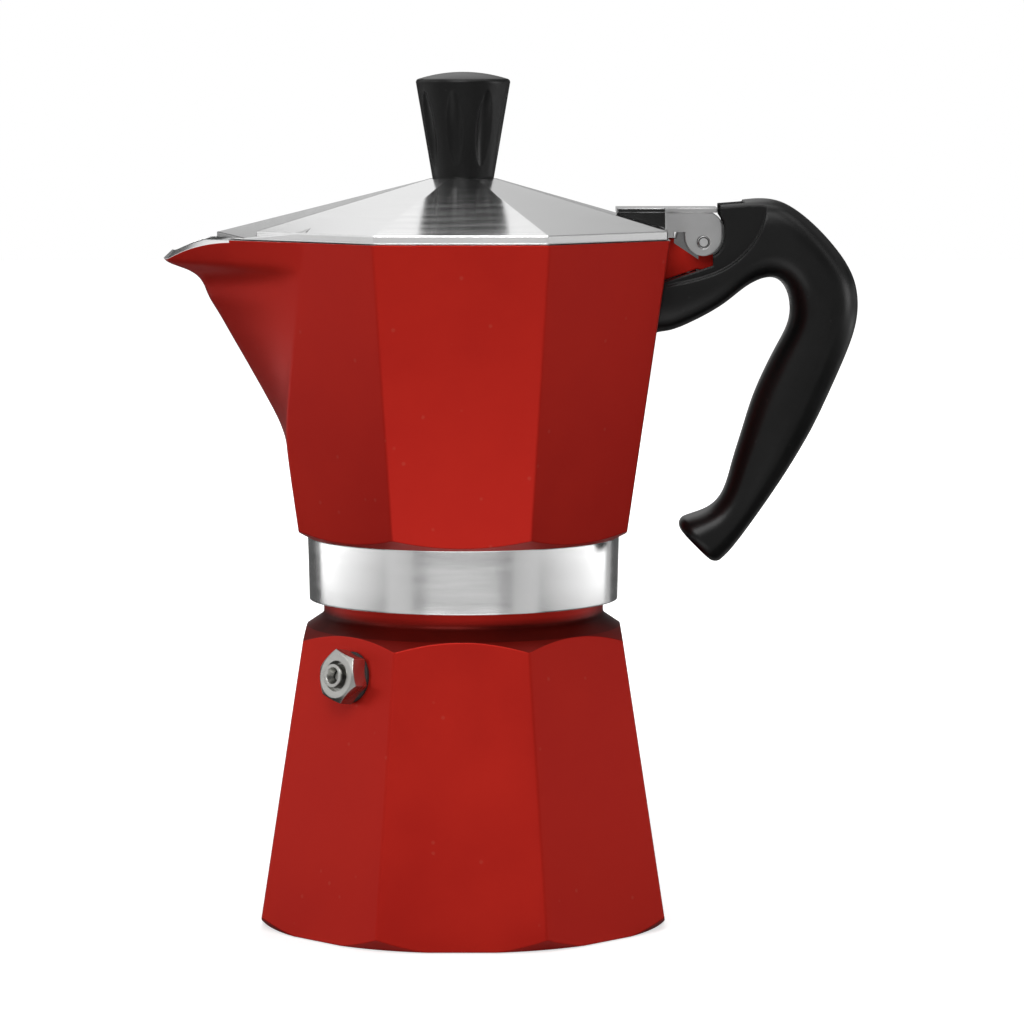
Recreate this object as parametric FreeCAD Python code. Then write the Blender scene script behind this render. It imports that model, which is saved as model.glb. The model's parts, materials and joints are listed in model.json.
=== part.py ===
"""Octagonal stovetop moka pot, six-cup size, in millimetres.

The origin is the centre of the boiler's flat bottom. +Z is up, the spout points to -X and the
handle to +X. Each piece is written to parts/ under its own name.
"""
import FreeCAD, Part
import math
import os
from FreeCAD import Placement, Rotation, Vector

# Boiler: the lower octagonal casting
boiler_base_apothem = 51.6
boiler_lean = 8.6
boiler_facet_height = 75.7
boiler_shoulder_slope = 34.0
boiler_base_radius = 52.3
boiler_floor = 3.0
boiler_wall = 3.8
neck_step = 4.35
neck_wall = 4.3
neck_height = 17.8
facet_edge_round = 1.3
neck_round = 1.6

# Screw thread between boiler and collector
thread_pitch = 3.0
thread_depth = 1.0
thread_length = 3.0
thread_root_width = 1.5
thread_crest_width = 0.7
thread_clearance = 0.4
thread_below_rim = 2.2
thread_sink = 0.3

# Safety valve on the front-left facet
valve_height = 65.9
valve_direction = 225.0
valve_offset = 2.4
valve_hex_flats = 12.0
valve_hex_length = 4.6
valve_bevel_steepness = 1.5
valve_shank_radius = 4.6
valve_boss_radius = 8.0
valve_boss_depth = 3.5
valve_washer_radius = 6.4
valve_washer_thickness = 0.8
valve_bore = 3.0
valve_inlet = 1.5
valve_seat_depth = 4.0
valve_seat_wall = 2.5
valve_counterbore = 3.8
valve_counterbore_depth = 1.5
nozzle_reach = 1.2
nozzle_length = 3.7
nozzle_hole = 1.4
nozzle_mouth = 2.1
poppet_head_radius = 2.4
poppet_head_thickness = 1.2
poppet_stem_radius = 1.0
poppet_sunk = 2.0
spring_wire = 0.5
spring_turns = 5

# Coffee funnel
flange_thickness = 1.2
flange_lap = 2.3
cup_wall = 1.0
cup_depth = 24.0
cup_clearance = 0.5
sieve_thickness = 0.8
sieve_hole = 0.8
sieve_rings = 5
hole_pitch = 4.6
stem_radius = 5.2
stem_wall = 0.8
stem_lap = 6.0
stem_floor_gap = 5.0
cone_slope = 22.0

# Gasket and filter plate
gasket_thickness = 3.3
gasket_lap = 1.0
gasket_width = 6.5
plate_thickness = 0.8
plate_rim_height = 1.0
plate_rim_width = 1.0
plate_hole = 0.75
plate_rings = 4
seal_clearance = 0.2

# Collector: the upper octagonal casting
skirt_depth = 15.5
band_wall = 3.3
band_flare = 0.4
band_height = 16.0
collector_height = 92.1
collector_step = 1.7
collector_lean = 8.1
underside_slope = 28.0
collector_wall = 2.6
collector_floor = 3.5
dome_height = 5.0
column_radius = 6.0
column_top_radius = 4.6
column_wall = 1.6
column_height = 62.0
column_outlet = 2.2

# Spout
spout_start_height = 27.0
spout_lean = 30.0
spout_blend = 5.0
spout_flare = 5.9
flare_low_drop = 9.6
flare_high_drop = 5.4
spout_tip_drop = 6.0
spout_wing = 18.2
spout_nose_run = 9.0
lip_run = 17.5
spout_steps = 16
flare_steps = 8

# Hinge
hinge_reach = 8.9
pin_drop = 0.9
pin_radius = 1.5
pin_clearance = 0.06
lug_half_width = 4.3
ear_half_width = 7.6
ear_clearance = 0.3
knuckle_margin = 0.95
lobe_radius = 4.75
lobe_rise = 1.3
lug_drop = 9.9
lug_slope = 18.9
lug_length = 2.1
tang_length = 7.0
tang_height = 4.0
lid_swing = 92.0

# Lid
lid_gap = 0.25
lid_inset = 0.6
lid_rim_height = 2.05
lid_slope = 16.5
lid_skin = 1.7
lid_rim_wall = 2.0
lid_top_apothem = 8.4
cover_slope = 14.0
cover_side_slope = 5.6
cover_step_back = 5.0
cover_step_half = 14.6
beak_reach = 63.3
beak_shoulder = 8.0
hinge_plate_gap = 0.5
hinge_plate_thickness = 1.2
hinge_plate_half_width = 7.8
hinge_plate_tail = 3.5
hinge_plate_front = 22.0
ear_block_drop = 6.1
ear_corner = 3.6
ear_overlap = 0.3
ear_heel_gap = 0.4
ear_bend_angles = (0.0, 22.5, 42.0)

# Knob and its screw
knob_base_radius = 7.8
knob_top_radius = 12.1
knob_height = 25.0
knob_dome = 2.0
knob_edge = 0.9
flute_count = 8
flute_turn = -12.0
flute_length = 19.6
flute_radius = 3.1
flute_depth = 1.1
screw_radius = 2.0
screw_clearance = 0.05
screw_end_room = 0.3
knob_screw_grip = 14.0
knob_screw_head_radius = 3.6
knob_screw_head_height = 2.4
knob_washer_radius = 5.6
knob_washer_thickness = 1.0

# Handle: stations from the pot's wall round the grip to the foot, measured from the hinge pin.
# Each holds the inner point, the outer point, half the width there and how square it is.
handle_stations = [
    ((-14.0, -24.0), (-12.5, 8.5), 11.7, 5.0),
    ((-9.0, -22.4), (-7.0, 8.9), 11.9, 5.2),
    ((-4.0, -20.6), (-1.5, 9.3), 12.0, 5.6),
    ((1.0, -18.1), (4.0, 9.8), 12.1, 5.6),
    ((6.0, -15.0), (9.5, 10.3), 12.2, 5.0),
    ((10.2, -11.8), (14.5, 10.8), 12.3, 4.0),
    ((13.8, -9.8), (20.0, 10.0), 12.3, 3.4),
    ((17.5, -9.1), (26.5, 5.9), 12.2, 3.0),
    ((20.9, -11.4), (33.8, -1.6), 12.0, 2.7),
    ((22.3, -15.8), (38.6, -9.6), 11.8, 2.6),
    ((21.8, -20.8), (39.5, -18.6), 11.6, 2.5),
    ((18.9, -26.8), (37.0, -27.8), 11.3, 2.5),
    ((15.5, -33.6), (33.0, -37.2), 11.0, 2.5),
    ((12.6, -40.6), (28.9, -46.1), 10.7, 2.5),
    ((10.2, -48.3), (24.6, -53.9), 10.3, 2.5),
    ((7.8, -56.2), (19.9, -61.4), 9.9, 2.5),
    ((5.6, -63.4), (14.7, -69.0), 9.6, 2.5),
    ((0.4, -68.6), (9.4, -76.3), 9.9, 2.5),
    ((-6.6, -72.4), (3.4, -82.4), 10.8, 2.5),
]
handle_section_points = 16
handle_end_round = 2.2
handle_wall_clearance = 0.1
cheek_half_width = 9.9
slot_clearance = 0.6
slot_angle = 5.0
lobe_clearance = 0.6
lug_clearance = 0.2
recess_points = [(-16.0, -12.4), (-4.4, -9.9), (5.8, -6.3), (12.0, -0.8), (15.2, 5.5), (14.8, 13.0)]
handle_screw_offset = 3.5
handle_screw_seat = 15.7
handle_screw_tip = 4.2
handle_screw_head_radius = 3.4
handle_screw_head_height = 2.4
counterbore_clearance = 0.4

# Margins for the making: how far cuts reach past a face and how close two points count as one
overcut = 1.0
turning_margin = 15.0
tolerance = 0.01

# Values worked out from the sizes above
eighth = math.pi / 4
boiler_draft = math.tan(math.radians(boiler_lean))
collector_draft = math.tan(math.radians(collector_lean))
shoulder_apothem = boiler_base_apothem - boiler_draft * boiler_facet_height
neck_radius = shoulder_apothem - neck_step
neck_bore = neck_radius - neck_wall
flange_radius = neck_bore + flange_lap
gasket_outer_radius = neck_bore + gasket_lap
gasket_inner_radius = gasket_outer_radius - gasket_width
skirt_bore = neck_radius + thread_clearance
band_radius = skirt_bore + band_wall
collector_base_apothem = band_radius + collector_step
boiler_rim = boiler_facet_height + neck_height
flange_top = boiler_rim + flange_thickness
seat = flange_top + gasket_thickness
skirt_bottom = seat - skirt_depth
band_top = skirt_bottom + band_height
rim = skirt_bottom + collector_height
rim_apothem = collector_base_apothem + collector_draft * (rim - band_top)
chamber_floor = seat + dome_height + collector_floor
neck_root = neck_radius - thread_depth
thread_low = boiler_rim - thread_below_rim - thread_length - thread_pitch / 2
pin_x = rim_apothem + hinge_reach
pin_z = rim - pin_drop
knuckle_radius = lobe_radius + lobe_rise + knuckle_margin
hinge_plate_height = knuckle_radius + hinge_plate_gap + hinge_plate_thickness
lobe_z = pin_z + lobe_rise
lid_bottom = rim + lid_gap
lid_apothem = rim_apothem - lid_inset
lid_rim_top = lid_bottom + lid_rim_height
lid_pitch = math.tan(math.radians(lid_slope))
lid_top = lid_rim_top + lid_pitch * (lid_apothem - lid_top_apothem)
plate_radius = gasket_inner_radius - seal_clearance
spout_start = band_top + spout_start_height
corner_run = facet_edge_round * math.tan(eighth / 2)
lug_low = pin_z - lug_drop
lug_wall = rim_apothem - collector_draft * (lug_drop + pin_drop)
lug_end = pin_x + lug_length
lug_fall = math.tan(math.radians(lug_slope))
lug_end_low = lug_low + lug_fall * (lug_end - lug_wall)
tang_top = lug_end_low - lug_clearance
handle_screw_x = pin_x - handle_screw_offset


def make_solid(faces):
    """Sew faces into one closed solid with its inside the right way round."""
    shell = Part.makeShell(faces)
    shell.sewShape()
    solid = Part.makeSolid(shell)
    if solid.Orientation == "Reversed":
        solid = Part.makeSolid(shell.reversed())
    return solid


def polygon_face(points):
    return Part.Face(Part.makePolygon(points + points[:1]))


def octagon(apothem, z):
    radius = apothem / math.cos(eighth / 2)
    corners = []
    for step in range(8):
        angle = (step + 0.5) * eighth
        corners.append(Vector(radius * math.cos(angle), radius * math.sin(angle), z))
    return corners


def octagon_stack(levels):
    """Closed octagonal solid through (apothem, height) levels from the bottom up."""
    rings = [octagon(apothem, z) for apothem, z in levels]
    faces = [polygon_face(rings[0]), polygon_face(rings[-1])]
    for low, high in zip(rings, rings[1:]):
        for step in range(8):
            after = (step + 1) % 8
            faces.append(polygon_face([low[step], low[after], high[after], high[step]]))
    return make_solid(faces)


def turned(profile):
    """Solid of revolution about Z of a closed outline of (radius, height) points."""
    face = polygon_face([Vector(r, 0, z) for r, z in profile])
    return face.revolve(Vector(0, 0, 0), Vector(0, 0, 1), 360)


def rod(radius, low, high):
    return Part.makeCylinder(radius, high - low, Vector(0, 0, low))


def cross_rod(radius, x, z, half_width):
    """Cylinder along Y, centred on the plane of symmetry."""
    return Part.makeCylinder(radius, 2 * half_width, Vector(x, -half_width, z), Vector(0, 1, 0))


def side_plate(points, low, high):
    """Outline of (x, z) points given a thickness from y = low to y = high."""
    face = polygon_face([Vector(x, low, z) for x, z in points])
    return face.extrude(Vector(0, high - low, 0))


def beyond_plane(point, normal):
    """Large block that fills the space on the outer side of a plane."""
    size = 6 * rim
    block = Part.makeBox(size, size, size, Vector(-size / 2, -size / 2, 0))
    block.Placement = Placement(point, Rotation(Vector(0, 0, 1), normal))
    return block


def corner_edges(solid, low, high):
    """The upright corner edges of an octagonal solid between two heights."""
    found = []
    for edge in solid.Edges:
        bounds = edge.BoundBox
        if bounds.ZLength > (high - low) / 2:
            found.append(edge)
    return found


def cross_edges(solid, x, z):
    """The edges along Y that pass through one (x, z) point."""
    found = []
    for edge in solid.Edges:
        middle = edge.CenterOfMass
        apart = math.hypot(middle.x - x, middle.z - z)
        if apart < tolerance and edge.BoundBox.YLength > tolerance:
            found.append(edge)
    return found


def ring_holes(radius, rings, low, high):
    """Rows of small round holes: one at the centre, then six more in each ring."""
    low -= overcut
    high += overcut
    holes = [rod(radius, low, high)]
    for ring in range(1, rings + 1):
        for step in range(6 * ring):
            angle = 2 * math.pi * step / (6 * ring)
            hole = rod(radius, low, high)
            hole.translate(Vector(math.cos(angle), math.sin(angle), 0) * (ring * hole_pitch))
            holes.append(hole)
    return Part.makeCompound(holes)


def thread_ridge(root_radius, outward, low):
    """One helical ridge that stands out from a cylinder, or in from a bore."""
    tip = root_radius + outward * thread_depth
    foot = root_radius - outward * thread_sink
    wide = thread_root_width / 2
    narrow = thread_crest_width / 2
    outline = [(foot, -wide), (root_radius, -wide), (tip, -narrow)]
    outline += [(tip, narrow), (root_radius, wide), (foot, wide)]
    section = Part.makePolygon([Vector(r, 0, z) for r, z in outline + outline[:1]])
    path = Part.Wire(Part.makeHelix(thread_pitch, thread_length, root_radius))
    ridge = path.makePipeShell([section], True, True)
    ridge.translate(Vector(0, 0, low))
    return ridge


def valve_place(shape):
    """Move a shape made along +Z from the facet's face onto the safety valve's axis."""
    turn = math.radians(valve_direction)
    flat = boiler_base_apothem - boiler_draft * valve_height
    point = Vector(flat * math.cos(turn), flat * math.sin(turn), valve_height)
    point += Vector(-math.sin(turn), math.cos(turn), 0) * valve_offset
    axis = Vector(math.cos(turn), math.sin(turn), boiler_draft)
    shape.Placement = Placement(point, Rotation(Vector(0, 0, 1), axis)).multiply(shape.Placement)
    return shape


def make_boiler():
    body = octagon_stack([
        (boiler_base_apothem, 0),
        (boiler_base_apothem - boiler_draft * boiler_rim, boiler_rim),
    ])
    body = body.makeFillet(facet_edge_round, corner_edges(body, 0, boiler_rim))
    fall = math.tan(math.radians(boiler_shoulder_slope))
    wide = boiler_base_apothem + turning_margin
    shoulder_low = boiler_facet_height - fall * (wide - shoulder_apothem)
    shoulder_high = boiler_facet_height + fall * (shoulder_apothem - neck_radius)
    chamfer = wide - boiler_base_radius
    body = body.common(turned([
        (0, 0), (boiler_base_radius, 0), (wide, chamfer), (wide, shoulder_low),
        (neck_radius, shoulder_high), (0, shoulder_high),
    ]))
    neck = turned([
        (0, boiler_facet_height), (neck_radius, boiler_facet_height),
        (neck_radius, thread_low - thread_depth), (neck_root, thread_low),
        (neck_root, boiler_rim), (0, boiler_rim),
    ])
    ridge = thread_ridge(neck_root, 1, thread_low + thread_pitch / 2)
    body = body.fuse(neck)
    root = [edge for edge in body.Edges if abs(edge.CenterOfMass.z - shoulder_high) < tolerance]
    body = body.makeFillet(neck_round, root)
    body = body.fuse(ridge)
    inner_low = boiler_base_apothem - boiler_wall - boiler_draft * boiler_floor
    inner_high = shoulder_apothem - boiler_wall
    inner_top = boiler_facet_height - 2 * boiler_wall
    body = body.cut(turned([
        (0, boiler_floor), (inner_low - boiler_floor, boiler_floor),
        (inner_low, 2 * boiler_floor), (inner_high, inner_top),
        (neck_bore, boiler_facet_height - boiler_wall / 2),
        (neck_bore, boiler_rim + overcut), (0, boiler_rim + overcut),
    ]))
    boss = valve_place(rod(valve_boss_radius, -boiler_wall - valve_boss_depth, -boiler_wall / 2))
    hole = valve_place(rod(valve_shank_radius + screw_clearance, -3 * boiler_wall, boiler_wall))
    return body.fuse(boss).cut(hole)


def make_valve():
    face = valve_washer_thickness + valve_hex_length
    shank_end = -valve_seat_depth - valve_seat_wall
    corner = valve_hex_flats / math.sqrt(3)
    hexagon = []
    for step in range(6):
        angle = step * math.pi / 3
        hexagon.append(Vector(corner * math.cos(angle), corner * math.sin(angle), 0))
    body = polygon_face(hexagon).extrude(Vector(0, 0, valve_hex_length))
    body.translate(Vector(0, 0, valve_washer_thickness))
    bevel = corner - valve_hex_flats / 2
    body = body.common(turned([
        (0, 0), (corner + overcut, 0), (corner + overcut, face - valve_bevel_steepness * bevel),
        (valve_hex_flats / 2 - bevel / 2, face), (0, face),
    ]))
    body = body.fuse(rod(valve_shank_radius, shank_end, face / 2))
    body = body.cut(turned([
        (0, shank_end - overcut), (valve_inlet, shank_end - overcut), (valve_inlet, -valve_seat_depth),
        (valve_bore, -valve_seat_depth), (valve_bore, face - valve_counterbore_depth),
        (valve_counterbore, face - valve_counterbore_depth), (valve_counterbore, face + overcut),
        (0, face + overcut),
    ]))
    washer = rod(valve_washer_radius, 0, valve_washer_thickness)
    washer_hole = rod(valve_shank_radius + screw_clearance, -overcut, valve_washer_thickness + overcut)
    washer = washer.cut(washer_hole)
    nozzle_top = face + nozzle_reach
    nozzle_low = nozzle_top - nozzle_length
    nozzle = turned([
        (nozzle_hole, nozzle_low), (valve_bore - screw_clearance, nozzle_low),
        (valve_bore - screw_clearance, nozzle_top), (nozzle_mouth, nozzle_top),
        (nozzle_hole, nozzle_top - nozzle_length / 2),
    ])
    head_top = -valve_seat_depth + poppet_head_thickness
    poppet = rod(poppet_head_radius, -valve_seat_depth, head_top)
    poppet = poppet.fuse(rod(poppet_stem_radius, head_top, nozzle_top - poppet_sunk))
    wire = spring_wire / 2
    coil_radius = poppet_head_radius - wire
    coil_length = nozzle_low - head_top - 2 * spring_wire
    path = Part.Wire(Part.makeHelix(coil_length / spring_turns, coil_length, coil_radius))
    section = Part.Wire(Part.makeCircle(wire, Vector(coil_radius, 0, 0), Vector(0, 1, 0)))
    spring = path.makePipeShell([section], True, True)
    spring.translate(Vector(0, 0, head_top + spring_wire))
    made = {
        "valve_body": body,
        "valve_washer": washer,
        "valve_retainer": nozzle,
        "valve_poppet": poppet,
        "valve_spring": spring,
    }
    return {name: valve_place(shape) for name, shape in made.items()}


def make_funnel():
    outer = neck_bore - cup_clearance
    inner = outer - cup_wall
    cup_low = flange_top - cup_depth
    drop = math.tan(math.radians(cone_slope)) * (outer - stem_radius)
    cone_low = cup_low - drop
    sieve_low = cup_low + cup_wall
    collar_low = cone_low - stem_lap
    cup = turned([
        (stem_radius, collar_low), (stem_radius + cup_wall, collar_low),
        (stem_radius + cup_wall, cone_low), (outer, cup_low), (outer, boiler_rim),
        (flange_radius, boiler_rim), (flange_radius, flange_top), (inner, flange_top),
        (inner, sieve_low), (inner - cup_wall, sieve_low),
        (inner - cup_wall, cup_low), (stem_radius, cone_low + cup_wall),
    ])
    sieve = rod(inner - screw_clearance, sieve_low, sieve_low + sieve_thickness)
    sieve = sieve.cut(ring_holes(sieve_hole, sieve_rings, sieve_low, sieve_low + sieve_thickness))
    tube = stem_radius - screw_clearance
    stem = turned([
        (tube - stem_wall, boiler_floor + stem_floor_gap), (tube, boiler_floor + stem_floor_gap),
        (tube, cone_low), (tube - stem_wall, cone_low),
    ])
    return {"funnel_cup": cup, "funnel_sieve": sieve, "funnel_stem": stem}


def make_seal():
    gasket = turned([
        (gasket_inner_radius, flange_top), (gasket_outer_radius, flange_top),
        (gasket_outer_radius, seat), (gasket_inner_radius, seat),
    ])
    low = seat - plate_rim_height
    plate = turned([
        (0, low), (plate_radius, low), (plate_radius, seat),
        (plate_radius - plate_rim_width, seat),
        (plate_radius - plate_rim_width, low + plate_thickness), (0, low + plate_thickness),
    ])
    plate = plate.cut(ring_holes(plate_hole, plate_rings, low, low + plate_thickness))
    return {"gasket": gasket, "filter_plate": plate}


def pitcher_ring(inset, z):
    return octagon(collector_base_apothem + collector_draft * (z - band_top) - inset, z)


def soft_ramp(value, blend):
    """Nought below zero and the value itself above, with a smooth bend between."""
    return (value + math.sqrt(value * value + blend * blend)) / 2


def spout_ridge(inset, z):
    """How far the spout's front ridge stands from the axis at one height."""
    flat = collector_base_apothem + collector_draft * (z - band_top) - inset
    lean = math.tan(math.radians(spout_lean)) - collector_draft
    rise = (z - rim + flare_low_drop) / (flare_low_drop - flare_high_drop)
    rise = min(1, max(0, rise))
    flare = spout_flare * rise * rise * (3 - 2 * rise)
    grown = min(1, max(0, (z - spout_start) / (rim - spout_start)))
    sharp = inset * (math.sqrt(2) - 1) * grown
    return flat + lean * soft_ramp(z - spout_start, spout_blend) + flare - sharp


def spout_section(inset, z):
    """The spout's outline at one height: rounded corners, two straight sides, a rounded nose."""
    ring = pitcher_ring(inset, z)
    grown = soft_ramp(z - spout_start, spout_blend) / (rim - spout_start)
    nose = Vector(-spout_ridge(inset, z), 0, z)
    sides = []
    for corner, beside in ((4, 5), (3, 2)):
        along = (ring[beside] - ring[corner]).normalize()
        end = ring[corner] + along * spout_wing * grown
        sides.append((end, along))
    half = (nose - sides[0][0]).Length
    run = max(half / 4, min(spout_nose_run, half / 2) * min(1, 2 * grown))
    nose.x -= run * abs(nose.x - sides[0][0].x) / half / 4
    poles = []
    for end, along in sides:
        toward = (nose - end).normalize()
        turn_in = nose - toward * run
        edge = [end + along * corner_run, end, end + toward * 2 * corner_run]
        poles.append(edge + [(edge[2] + turn_in) * 0.5, turn_in])
    poles = poles[0] + [nose] + poles[1][::-1]
    spans = len(poles) - 2
    curve = Part.BSplineCurve()
    curve.buildFromPolesMultsKnots(
        poles, [3] + [1] * (spans - 1) + [3], list(range(spans + 1)), False, 2)
    return Part.Wire(curve.toShape())


def pitcher(inset, low, high):
    """The collector's octagonal form, drawn out into the spout on its -X side."""
    flare_low = rim - flare_low_drop
    run = flare_low - low
    heights = [low + run * step / spout_steps for step in range(spout_steps)]
    heights += [flare_low + (high - flare_low) * step / flare_steps for step in range(flare_steps + 1)]
    spout = Part.makeLoft([spout_section(inset, z) for z in heights], False, False)
    base, top = pitcher_ring(inset, low), pitcher_ring(inset, high)
    faces = list(spout.Faces)
    upright, level = [], []
    for edge in spout.Edges:
        (upright if edge.BoundBox.ZLength > run / 2 else level).append(edge)
    upright.sort(key=lambda edge: edge.CenterOfMass.y)
    level.sort(key=lambda edge: edge.CenterOfMass.z)
    for corner in (0, 1, 5, 6, 7):
        after = (corner + 1) % 8
        faces.append(polygon_face([base[corner], base[after], top[after], top[corner]]))
    for edge, beside in ((upright[0], 5), (upright[1], 2)):
        ends = [vertex.Point for vertex in edge.Vertexes]
        ends.sort(key=lambda point: point.z)
        lines = [ends[1], top[beside], base[beside], ends[0]]
        wire = Part.Wire(Part.__sortEdges__([edge] + Part.makePolygon(lines).Edges))
        faces.append(Part.Face(wire))
    for edge, ring in ((level[0], base), (level[1], top)):
        ends = [vertex.Point for vertex in edge.Vertexes]
        ends.sort(key=lambda point: point.y)
        lines = [ends[0], ring[5], ring[6], ring[7], ring[0], ring[1], ring[2], ends[1]]
        wire = Part.Wire(Part.__sortEdges__([edge] + Part.makePolygon(lines).Edges))
        faces.append(Part.Face(wire))
    return make_solid(faces)


def wing_point(side):
    """Where the spout's side leaves the facet at the rim, on the front or the back."""
    corner, beside = (4, 5) if side < 0 else (3, 2)
    ring = pitcher_ring(0, rim)
    return ring[corner] + (ring[beside] - ring[corner]).normalize() * spout_wing


def lip_cutter(side):
    """Slanted cut that lowers the lip to the spout's tip on one side and bares its rim."""
    wing = wing_point(side)
    apex = Vector(-spout_ridge(0, rim), 0, rim)
    along = (apex - wing).normalize()
    reach = spout_ridge(0, rim - spout_tip_drop)
    tip = wing + along * ((reach + wing.x) / abs(along.x))
    start = tip - along * (lip_run / abs(along.x))
    drop = Vector(0, 0, -spout_tip_drop)
    middle = start + (tip - start) * 0.5 + drop * 0.25
    end = tip + drop + (tip + drop - middle).normalize() * 2 * lip_run
    lift = Vector(0, 0, 2 * lip_run)
    edges = [Part.Arc(start, middle, tip + drop).toShape()]
    edges += Part.makePolygon([tip + drop, end, end + lift, start + lift, start]).Edges
    face = Part.Face(Part.Wire(edges))
    slant = Vector(abs(along.y), -side * abs(along.x), 1)
    return face.extrude(slant * 3 * collector_wall).fuse(face.extrude(slant * -3 * collector_wall))


def make_lug():
    """The hinge lug on the collector's wall, with a tang that the handle is screwed to."""
    half = lug_half_width
    lug = side_plate([
        (lug_wall - collector_wall / 2, lug_low), (lug_wall, lug_low), (lug_end, lug_end_low),
        (lug_end, pin_z), (pin_x, rim), (rim_apothem - collector_wall / 2, rim),
    ], -half, half)
    tang = side_plate([
        (pin_x, tang_top), (lug_end, tang_top), (lug_end + tang_length, tang_top),
        (lug_end + tang_length, tang_top - tang_height), (pin_x, tang_top - tang_height),
    ], -half, half)
    return lug.fuse([tang, cross_rod(knuckle_radius, pin_x, pin_z, half)])


def make_collector():
    wide = spout_ridge(0, rim) + turning_margin
    cone = math.tan(math.radians(underside_slope))
    band_high = band_radius + band_flare
    body = pitcher(0, band_top - band_height / 2, rim)
    uprights = []
    for edge in body.Edges:
        if edge.BoundBox.ZLength > collector_height / 2 and edge.Curve.TypeId == "Part::GeomLine":
            uprights.append(edge)
    body = body.makeFillet(facet_edge_round, uprights)
    body = body.common(turned([
        (0, band_top), (band_high, band_top), (wide, band_top + cone * (wide - band_high)),
        (wide, rim), (0, rim),
    ]))
    band = turned([
        (0, skirt_bottom), (band_radius, skirt_bottom), (band_high, band_top),
        (band_high, band_top + collector_floor), (0, band_top + collector_floor),
    ])
    body = body.fuse(band)
    groove = gasket_outer_radius + seal_clearance
    ledge = flange_top + seal_clearance
    dome_top = seat + dome_height
    hole = column_radius + screw_clearance
    body = body.cut(turned([
        (0, skirt_bottom - overcut), (skirt_bore, skirt_bottom - overcut), (skirt_bore, ledge),
        (groove, ledge), (groove, seat), (plate_radius - plate_rim_width, seat),
        (hole, dome_top), (hole, chamber_floor + overcut), (0, chamber_floor + overcut),
    ]))
    body = body.cut(pitcher(collector_wall, chamber_floor, rim + overcut))
    body = body.cut([lip_cutter(-1), lip_cutter(1)])
    ridge = thread_ridge(skirt_bore, -1, thread_low)
    body = body.fuse([ridge, make_lug()])
    pin_hole = cross_rod(pin_radius + pin_clearance, pin_x, pin_z, ear_half_width)
    screw_hole = rod(screw_radius + screw_clearance, lug_low, pin_z - handle_screw_tip + screw_end_room)
    screw_hole.translate(Vector(handle_screw_x, 0, 0))
    return body.cut([pin_hole, screw_hole])


def make_column():
    low = seat + dome_height
    top = low + column_height
    column = turned([
        (column_radius - column_wall, low), (column_radius, low),
        (column_radius, chamber_floor + collector_floor), (column_top_radius, top - column_top_radius),
        (column_top_radius / 2, top), (0, top), (0, top - column_wall),
        (column_top_radius - column_wall, top - column_top_radius),
    ])
    outlet = top - column_top_radius - 2 * column_outlet
    slot = cross_rod(column_outlet, 0, outlet, column_radius)
    return column.cut(slot)


def cover_block(inset, low, lowered):
    """Raised cover of the spout: a shallow roof over the V between the spout's sides."""
    apex = spout_ridge(0, rim) - inset * math.sqrt(2)
    wing = wing_point(-1)
    wing_x, wing_y = -wing.x, -wing.y
    wing_x -= inset
    wing_y -= inset
    taper = wing_y / (apex - wing_x)
    shoulder = beak_reach - beak_shoulder
    shoulder_y = taper * (apex - shoulder)
    back = wing_x - cover_step_back
    half = [
        (beak_reach - inset, 0), (shoulder - inset, shoulder_y), (wing_x, wing_y),
        (back, cover_step_half - inset), (lid_top_apothem, 0),
    ]
    points = [Vector(-x, -y, low) for x, y in half]
    points += [Vector(-x, y, low) for x, y in half[-2:0:-1]]
    block = polygon_face(points).extrude(Vector(0, 0, lid_top - low))
    ridge = Vector(-lid_top_apothem, 0, lid_top - lowered)
    down = math.tan(math.radians(cover_slope))
    aside = math.tan(math.radians(cover_side_slope))
    crest = Vector(-shoulder, 0, ridge.z - down * (shoulder - lid_top_apothem))
    tip = Vector(-beak_reach, 0, ridge.z - down * (beak_reach - lid_top_apothem))
    for side in (-1, 1):
        block = block.cut(beyond_plane(ridge, Vector(-down, side * aside, 1)))
        corner = Vector(-shoulder, side * shoulder_y, lid_bottom + lid_gap - lowered)
        normal = (tip - crest).cross(corner - crest)
        if normal.z < 0:
            normal = -normal
        block = block.cut(beyond_plane(crest, normal))
    return block


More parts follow.
